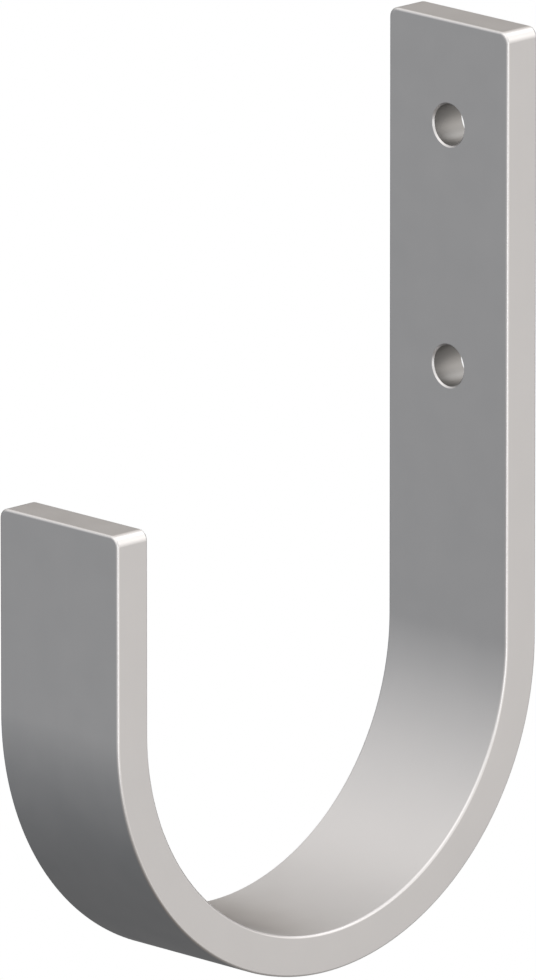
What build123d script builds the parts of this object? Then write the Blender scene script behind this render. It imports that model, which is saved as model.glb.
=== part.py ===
"""Cable management hook, to screw to a wall: one flat bar of metal bent into a J.

The tall leg lies against the wall and has two screw holes. The half-round bend cradles the cables,
and the short front leg keeps them in. Millimetres, +X across the bar, +Y into the wall, +Z up.
The origin is on the wall face, midway between the two holes.
"""
import os

from build123d import *

# The flat bar
bar_width = 25.4
bar_thickness = 6.35
edge_radius = 0.4           # every edge of the bent bar is eased by this

# The bend and the two legs, with heights measured from the lowest point of the bend
inside_bend_radius = 38.1
wall_leg_height = 139.7
front_leg_height = 76.2
corner_radius = 1.6         # the two corners of each leg's end, seen from the front

# The screw holes through the wall leg
hole_diameter = 6.4
hole_spacing = 37.7
upper_hole_drop = 16.4      # from the top of the wall leg to the upper hole
rim_chamfer = 0.3           # both rims of each hole have their burr cut off to this depth

# Places that follow from the sizes
outside_bend_radius = inside_bend_radius + bar_thickness
wall_leg_top = hole_spacing / 2 + upper_hole_drop
hook_bottom = wall_leg_top - wall_leg_height
bend_centre_y = -outside_bend_radius
bend_centre_z = hook_bottom + outside_bend_radius
front_leg_top = hook_bottom + front_leg_height


def j_profile():
    """The side view of the bent bar: two straight legs joined by a half-round of even thickness."""
    wall_y = 0
    front_y = bend_centre_y - outside_bend_radius
    wall_inside_y = wall_y - bar_thickness
    front_inside_y = front_y + bar_thickness
    bend_centre = (bend_centre_y, bend_centre_z)
    with BuildSketch(Plane.YZ) as side_view:
        with BuildLine():
            Line((wall_y, wall_leg_top), (wall_y, bend_centre_z))
            CenterArc(bend_centre, outside_bend_radius, start_angle=180, arc_size=180)
            Line((front_y, bend_centre_z), (front_y, front_leg_top))
            Line((front_y, front_leg_top), (front_inside_y, front_leg_top))
            Line((front_inside_y, front_leg_top), (front_inside_y, bend_centre_z))
            CenterArc(bend_centre, inside_bend_radius, start_angle=180, arc_size=180)
            Line((wall_inside_y, bend_centre_z), (wall_inside_y, wall_leg_top))
            Line((wall_inside_y, wall_leg_top), (wall_y, wall_leg_top))
        make_face()
    return side_view.sketch


def make_hook():
    """Extrudes the bent bar to its width, rounds its ends, eases its edges and drills it."""
    with BuildPart() as bent_bar:
        extrude(j_profile(), amount=bar_width / 2, both=True)
        leg_end_corners = bent_bar.edges().filter_by(Axis.Y)
        fillet(leg_end_corners, radius=corner_radius)
        fillet(bent_bar.edges(), radius=edge_radius)
        with Locations((0, 0, hole_spacing / 2), (0, 0, -hole_spacing / 2)):
            Cylinder(
                radius=hole_diameter / 2,
                height=4 * bar_thickness,
                rotation=(90, 0, 0),
                mode=Mode.SUBTRACT,
            )
        hole_rims = bent_bar.edges(Select.LAST).filter_by(GeomType.CIRCLE)
        chamfer(hole_rims, length=rim_chamfer)
    return bent_bar.part


hook = make_hook()
hook.label = "hook"
os.makedirs("parts", exist_ok=True)
export_step(hook, "parts/hook.step")
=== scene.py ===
from math import atan2, cos, hypot, pi, radians, sin

import bmesh
import bpy
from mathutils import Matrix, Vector


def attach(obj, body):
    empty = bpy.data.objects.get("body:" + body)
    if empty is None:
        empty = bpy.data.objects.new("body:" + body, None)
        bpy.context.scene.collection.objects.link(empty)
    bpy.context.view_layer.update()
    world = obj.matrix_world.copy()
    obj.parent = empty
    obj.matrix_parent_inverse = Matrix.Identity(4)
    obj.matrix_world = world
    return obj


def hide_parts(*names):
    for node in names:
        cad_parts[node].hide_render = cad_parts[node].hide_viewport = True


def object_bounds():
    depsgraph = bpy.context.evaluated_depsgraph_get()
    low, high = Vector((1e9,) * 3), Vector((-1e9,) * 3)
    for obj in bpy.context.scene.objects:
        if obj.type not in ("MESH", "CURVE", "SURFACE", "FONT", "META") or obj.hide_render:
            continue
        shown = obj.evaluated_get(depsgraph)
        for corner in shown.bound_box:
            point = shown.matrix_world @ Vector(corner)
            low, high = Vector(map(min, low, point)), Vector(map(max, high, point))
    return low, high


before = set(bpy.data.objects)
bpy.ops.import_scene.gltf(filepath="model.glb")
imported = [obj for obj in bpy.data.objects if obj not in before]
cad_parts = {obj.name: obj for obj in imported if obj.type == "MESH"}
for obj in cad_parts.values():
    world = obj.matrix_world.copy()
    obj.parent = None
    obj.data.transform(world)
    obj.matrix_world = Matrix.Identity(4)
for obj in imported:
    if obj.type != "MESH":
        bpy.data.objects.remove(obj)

cad_low, cad_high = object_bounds()

# The bent bar
# One length of flat aluminium bar, cut to length and bent round a former into a J: a tall leg for
# the wall, a half-round for the cables and a short front leg. The bend keeps the full thickness.
# The corners of both ends are rounded, and tumbling has eased every edge and left an even satin.
MM = 0.001
bar_width = 25.4 * MM
bar_thickness = 6.35 * MM
outside_bend_radius = 44.45 * MM
front_leg_height = 76.2 * MM
bend_steps = 120
corner_radius = 1.6 * MM
corner_steps = 10
edge_radius = 0.4 * MM
edge_steps = 5
sharp_edge = radians(45)            # an edge that turns by more than this is eased
closeness = 0.001 * MM              # points this close to a place are at it
# the drilled finish is painted darker than the metal, as painted shade inside the bores
SATIN, EASED_AND_HIGHLIGHT, DRILLED_AND_SHADED = 0, 1, 2     # the three finishes, in the order of the mesh's materials

wall_face = cad_high.y
wall_leg_front = wall_face - bar_thickness
wall_leg_top = cad_high.z
front_leg_top = cad_low.z + front_leg_height
bend_centre = Vector((0, wall_face - outside_bend_radius, cad_low.z + outside_bend_radius))

bar = bmesh.new()
cut_end = bar.faces.new([
    bar.verts.new((-bar_width / 2, wall_leg_front, wall_leg_top)),
    bar.verts.new((bar_width / 2, wall_leg_front, wall_leg_top)),
    bar.verts.new((bar_width / 2, wall_face, wall_leg_top)),
    bar.verts.new((-bar_width / 2, wall_face, wall_leg_top)),
])


def run_straight(end, rise):
    """Extrudes the bar's last end up or down by rise, and returns its new end."""
    grown = bmesh.ops.extrude_face_region(bar, geom=[end])["geom"]
    moved = [part for part in grown if isinstance(part, bmesh.types.BMVert)]
    bmesh.ops.translate(bar, verts=moved, vec=(0, 0, rise))
    return next(part for part in grown if isinstance(part, bmesh.types.BMFace))


end = run_straight(cut_end, bend_centre.z - wall_leg_top)
turned = bmesh.ops.spin(
    bar, geom=[end], cent=bend_centre, axis=(1, 0, 0), angle=-pi, steps=bend_steps, use_duplicate=False,
)
end = next(part for part in turned["geom_last"] if isinstance(part, bmesh.types.BMFace))
run_straight(end, front_leg_top - bend_centre.z)

# each run leaves its first face inside the bar, where four walls already meet it
left_inside = [face for face in bar.faces if all(len(edge.link_faces) > 2 for edge in face.edges)]
bmesh.ops.delete(bar, geom=left_inside, context="FACES_ONLY")
bmesh.ops.recalc_face_normals(bar, faces=bar.faces)


def at_leg_end(vert):
    """True for a point in the plane of either leg's end."""
    return min(abs(vert.co.z - wall_leg_top), abs(vert.co.z - front_leg_top)) < closeness


def ease(edges, radius, steps):
    """Rounds these edges of the bar, and gives the new faces the eased edges' finish, painted lighter:
    partly wear and partly painted highlight.
    """
    rounded = bmesh.ops.bevel(
        bar, geom=edges, offset=radius, offset_type="OFFSET", segments=steps, profile=0.5,
        affect="EDGES", material=-1, clamp_overlap=False,
    )
    for face in rounded["faces"]:
        face.material_index = EASED_AND_HIGHLIGHT


end_corners = []
for edge in bar.edges:
    first, second = edge.verts
    if at_leg_end(first) and at_leg_end(second) and abs(first.co.x - second.co.x) < closeness:
        end_corners.append(edge)
ease(end_corners, corner_radius, corner_steps)
ease([edge for edge in bar.edges if edge.calc_face_angle() > sharp_edge], edge_radius, edge_steps)

# The screw holes
# Two round holes, drilled through the wall leg one above the other, for the screws that hold the
# hook. The bore is painted darker, as painted shade for the hollow, and a small chamfer takes the burr off
# both rims.
hole_radius = 3.2 * MM
hole_spacing = 37.7 * MM
upper_hole_drop = 16.4 * MM
rim_chamfer = 0.3 * MM
rim_softness = 0.15                 # share of the chamfer at each end over which the light turns
hole_steps = 96
flatness = 0.999                    # a face with this much of Y in its normal lies along the wall
end_points = 2 * corner_steps       # only a leg's whole flat face has more points than this

hole_heights = [wall_leg_top - upper_hole_drop, wall_leg_top - upper_hole_drop - hole_spacing]
wall_leg_faces = [
    face for face in bar.faces
    if abs(face.normal.y) > flatness and face.calc_center_median().y > bend_centre.y
    and len(face.verts) > end_points
]
outlines = [edge for face in wall_leg_faces for edge in face.edges]
bmesh.ops.delete(bar, geom=wall_leg_faces, context="FACES_ONLY")

inward = [rim_chamfer * share for share in (0, rim_softness, 1 - rim_softness, 1)]
outward = inward[::-1]
rims = []
for height in hole_heights:
    # half of the hole's section, from the front rim through the bore to the back rim
    section = [(hole_radius + rim_chamfer - cut, wall_leg_front + cut) for cut in inward]
    section += [(hole_radius + rim_chamfer - cut, wall_face - cut) for cut in outward]
    line = [bar.verts.new((across, deep, height)) for across, deep in section]
    joins = [bar.edges.new(pair) for pair in zip(line, line[1:])]
    whole = set(bar.faces)
    bmesh.ops.spin(
        bar, geom=line + joins, cent=(0, 0, height), axis=(0, 1, 0), angle=2 * pi, steps=hole_steps,
        use_merge=True,
    )
    drilled = [face for face in bar.faces if face not in whole]
    for face in drilled:
        middle = face.calc_center_median()
        in_bore = hypot(middle.x, middle.z - height) < hole_radius
        # the bore's own faces take the finish painted darker as painted shade, and the chamfers keep the
        # satin
        face.material_index = DRILLED_AND_SHADED if in_bore else SATIN
    rims += [edge for face in drilled for edge in face.edges if edge.is_boundary]
for side in (wall_leg_front, wall_face):
    loops = [
        edge for edge in outlines + rims
        if all(abs(vert.co.y - side) < closeness for vert in edge.verts)
    ]
    bmesh.ops.triangle_fill(bar, edges=loops, use_beauty=True, use_dissolve=False)
bmesh.ops.recalc_face_normals(bar, faces=bar.faces)

# The finished hook
# The whole hook is this one piece of metal. Every point also keeps its place in the straight bar
# (across, through and along it, in metres), so that the marks of rolling follow the bend.
middle_radius = outside_bend_radius - bar_thickness / 2
flat_weight = 100                   # the highest, so that the large flat faces look flat up to their borders
cloud_scale = 170.0                 # soft clouds a few millimetres across, as tumbling leaves them
grain_scale = 3600.0                # fine grain of the tumbled skin, about a quarter of a millimetre
line_scale = (2600.0, 2600.0, 45.0)     # faint lines of the rolled bar, drawn out along its length
line_share = 0.35                   # the lines' part in the fine marks, the rest being grain
cloud_share = 0.5                   # the clouds' part in tone and roughness, the rest being fine marks
usual_low, usual_high = 0.3, 0.7    # nearly all of the blended marks and clouds lie between these

straight = bar.verts.layers.float_vector.new("straight_bar")
for vert in bar.verts:
    back, rise = vert.co.y - bend_centre.y, vert.co.z - bend_centre.z
    if rise < 0:
        through, along = hypot(back, rise), middle_radius * atan2(rise, back)
    else:
        through, along = abs(back), rise if back > 0 else -middle_radius * pi - rise
    vert[straight] = (vert.co.x, through - middle_radius, along)
for face in bar.faces:
    face.smooth = True
hook_mesh = bpy.data.meshes.new("bent_hook")
bar.to_mesh(hook_mesh)
bar.free()
scene = bpy.context.scene
bent_hook = bpy.data.objects.new("bent_hook", hook_mesh)
scene.collection.objects.link(bent_hook)
flat_faces = bent_hook.modifiers.new("flat_faces", "WEIGHTED_NORMAL")
flat_faces.mode = "FACE_AREA"
flat_faces.weight = flat_weight
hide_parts("hook")
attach(bent_hook, "root")


def node(tree, kind, settings=(), **inputs):
    """Adds a node, makes its settings, and sets or links its inputs, named (Scale) or numbered (i0)."""
    made = tree.nodes.new(kind)
    for name, value in dict(settings).items():
        setattr(made, name, value)
    for name, value in inputs.items():
        numbered = name[0] == "i" and name[1:].isdigit()
        socket = made.inputs[int(name[1:]) if numbered else name.replace("_", " ")]
        if isinstance(value, bpy.types.NodeSocket):
            tree.links.new(value, socket)
        else:
            socket.default_value = value
    return made


def aluminium(name, tone, rough, spread, grain_height):
    """A bare aluminium finish. Tone and roughness wander by spread, and grain stands up by grain_height."""
    made = bpy.data.materials.new(name)
    made.use_nodes = True
    tree = made.node_tree
    metal = tree.nodes["Principled BSDF"]
    metal.inputs["Metallic"].default_value = 1
    place = node(tree, "ShaderNodeTexCoord").outputs["Object"]
    clouds = node(tree, "ShaderNodeTexNoise", Vector=place, Scale=cloud_scale, Detail=2.0).outputs["Fac"]
    grain = node(
        tree, "ShaderNodeTexNoise", Vector=place, Scale=grain_scale, Detail=2.0, Roughness=0.6,
    ).outputs["Fac"]
    unbent = node(tree, "ShaderNodeAttribute", {"attribute_name": "straight_bar"}).outputs["Vector"]
    drawn_out = node(
        tree, "ShaderNodeVectorMath", {"operation": "MULTIPLY"}, i0=unbent, i1=line_scale,
    ).outputs[0]
    lines = node(tree, "ShaderNodeTexNoise", Vector=drawn_out, Scale=1.0, Detail=2.0).outputs["Fac"]
    marks = node(
        tree, "ShaderNodeMix", {"data_type": "FLOAT"}, i0=line_share, i2=grain, i3=lines,
    ).outputs[0]
    both = node(
        tree, "ShaderNodeMix", {"data_type": "FLOAT"}, i0=cloud_share, i2=marks, i3=clouds,
    ).outputs[0]
    darker = [amount * (1 - spread) for amount in tone]
    lighter = [amount * (1 + spread) for amount in tone]
    colour = node(
        tree, "ShaderNodeMix", {"data_type": "RGBA"}, i0=both, i6=(*darker, 1), i7=(*lighter, 1),
    ).outputs[2]
    tree.links.new(colour, metal.inputs["Base Color"])
    roughness = node(
        tree, "ShaderNodeMapRange",
        i0=both, i1=usual_low, i2=usual_high, i3=rough - spread, i4=rough + spread,
    ).outputs[0]
    tree.links.new(roughness, metal.inputs["Roughness"])
    bump = node(tree, "ShaderNodeBump", Strength=1.0, Distance=grain_height, Height=marks)
    tree.links.new(bump.outputs[0], metal.inputs["Normal"])
    return made


hook_mesh.materials.append(aluminium(
    "satin_aluminium", tone=(0.62, 0.616, 0.622), rough=0.40, spread=0.03, grain_height=0.0015 * MM,
))
# The eased edges' finish is lighter than the satin: partly the polish of tumbling, partly painted highlight
# that brightens the edges' glint.
hook_mesh.materials.append(aluminium(
    "eased_edge_wear_and_highlight", tone=(0.69, 0.686, 0.692), rough=0.36, spread=0.02, grain_height=0.001 * MM,
))
# The bore's finish: its dark tone is painted shade for the hollow, while its roughness and grain are its
# own.
hook_mesh.materials.append(aluminium(
    "bore_painted_shade", tone=(0.30, 0.296, 0.292), rough=0.42, spread=0.02, grain_height=0.003 * MM,
))

# The studio
# A plain white studio, which the camera sees and the bare metal mirrors. Large soft boxes add light
# from some sides and grey cards take it away from others, so that the metal shows its form. Only the
# camera doesn't see the boxes and cards.
studio_white = (1.0, 1.0, 1.0)
deepest_shade = (0.02, 0.02, 0.02)

# each one's azimuth and elevation in degrees, how tightly it keeps to its middle, its strength, which
# a card takes away, and how warm it is
boxes_and_cards = (
    (15, 60, 3, 0.85, 0.06),         # wide soft box overhead, in front
    (60, -10, 30, 2.45, 0.0),        # narrow soft box to the right of the camera
    (110, -10, 30, 0.9, 0.09),       # narrow warm soft box at the right
    (135, 20, 15, 0.95, 0.06),       # soft box at the right, behind
    (-160, 20, 6, 1.05, 0.04),       # wide soft box at the left, behind
    (175, 45, 30, 1.4, 0.0),         # narrow soft box high behind
    (-95, 30, 30, 0.75, 0.04),       # narrow soft box high at the left
    (-120, -5, 10, -0.85, 0.05),     # grey card at the left
    (-130, -35, 10, -0.05, 0.0),     # grey card low at the left, behind
    (-170, 10, 15, -5.4, -0.02),     # black card behind
    (-110, 20, 4, -0.5, -0.04),      # wide grey card high at the left
    (-70, -25, 2, -0.35, 0.09),      # very wide grey card low at the left
    (55, -75, 1, -0.75, -0.04),      # grey cloth below
)


def direction(azimuth, elevation):
    """The way to a place in the studio: azimuth from the front toward the hook's right, elevation above."""
    turn, lift = radians(azimuth), radians(elevation)
    return Vector((sin(turn) * cos(lift), -cos(turn) * cos(lift), sin(lift)))


world = bpy.data.worlds.new("studio")
scene.world = world
world.use_nodes = True
air = world.node_tree
looking = node(air, "ShaderNodeTexCoord").outputs["Generated"]
light = studio_white
for azimuth, elevation, tightness, strength, warmth in boxes_and_cards:
    # strongest in its middle, and fading evenly all round
    toward = node(
        air, "ShaderNodeVectorMath", {"operation": "DOT_PRODUCT"},
        i0=looking, i1=direction(azimuth, elevation),
    ).outputs["Value"]
    away = node(air, "ShaderNodeMath", {"operation": "SUBTRACT"}, i0=toward, i1=1.0).outputs[0]
    fade = node(air, "ShaderNodeMath", {"operation": "MULTIPLY"}, i0=away, i1=float(tightness)).outputs[0]
    glow = node(air, "ShaderNodeMath", {"operation": "EXPONENT"}, i0=fade).outputs[0]
    tint = (strength * (1 + warmth), strength, strength * (1 - warmth))
    added = node(air, "ShaderNodeVectorMath", {"operation": "SCALE"}, i0=tint, Scale=glow).outputs[0]
    light = node(air, "ShaderNodeVectorMath", {"operation": "ADD"}, i0=light, i1=added).outputs[0]
light = node(air, "ShaderNodeVectorMath", {"operation": "MAXIMUM"}, i0=light, i1=deepest_shade).outputs[0]
seen = node(air, "ShaderNodeLightPath").outputs["Is Camera Ray"]
shown = node(
    air, "ShaderNodeMix", {"data_type": "RGBA"}, i0=seen, i6=light, i7=(*studio_white, 1),
).outputs[2]
air.links.new(shown, air.nodes["Background"].inputs["Color"])

# The floor
# A round, pale, matt floor lies well below the hook, which hangs in the air as it would on its wall.
# The metal mirrors the studio's boxes and cards, not this floor.
floor_drop = 300 * MM
floor_radius = 450 * MM
floor_steps = 128
floor_tone = (0.68, 0.68, 0.68)
floor_roughness = 0.9

disc = bmesh.new()
bmesh.ops.create_circle(disc, cap_ends=True, segments=floor_steps, radius=floor_radius)
bmesh.ops.translate(disc, verts=disc.verts, vec=(0, bend_centre.y, cad_low.z - floor_drop))
floor_mesh = bpy.data.meshes.new("floor")
disc.to_mesh(floor_mesh)
disc.free()
floor = bpy.data.objects.new("floor", floor_mesh)
scene.collection.objects.link(floor)
pale = bpy.data.materials.new("pale_floor")
pale.use_nodes = True
pale_paint = pale.node_tree.nodes["Principled BSDF"]
pale_paint.inputs["Base Color"].default_value = (*floor_tone, 1)
pale_paint.inputs["Roughness"].default_value = floor_roughness
floor_mesh.materials.append(pale)
floor.visible_glossy = False
floor.visible_diffuse = False

# The camera
# It looks from the front right and a little above, along the photograph's line of sight, through a
# very long lens, so that the hook's upright edges stay almost parallel.
camera_azimuth = 45.35
camera_elevation = 14.62
camera_lens = 900
sensor_width = 36
nearest, farthest = 0.1, 100        # metres, and everything between them is in view
photo_height = 980                  # pixels
pixels_per_mm = 6.606               # of the photograph, at the bend's centre
aim_right = -0.22 * MM              # the middle of the picture, from the bend's centre
aim_up = 27.73 * MM

camera_data = bpy.data.cameras.new("camera")
camera_data.lens = camera_lens
camera_data.sensor_width = sensor_width
camera_data.clip_start, camera_data.clip_end = nearest, farthest
camera = bpy.data.objects.new("camera", camera_data)
scene.collection.objects.link(camera)
scene.camera = camera
line_of_sight = direction(camera_azimuth, camera_elevation)
right = direction(camera_azimuth + 90, 0)
up = direction(camera_azimuth, camera_elevation + 90)
aim = bend_centre + right * aim_right + up * aim_up
distance = camera_lens / sensor_width * photo_height / pixels_per_mm * MM
camera.location = aim + line_of_sight * distance
camera.rotation_mode = "QUATERNION"
camera.rotation_quaternion = line_of_sight.to_track_quat("Z", "Y")
scene.view_settings.view_transform = "Standard"
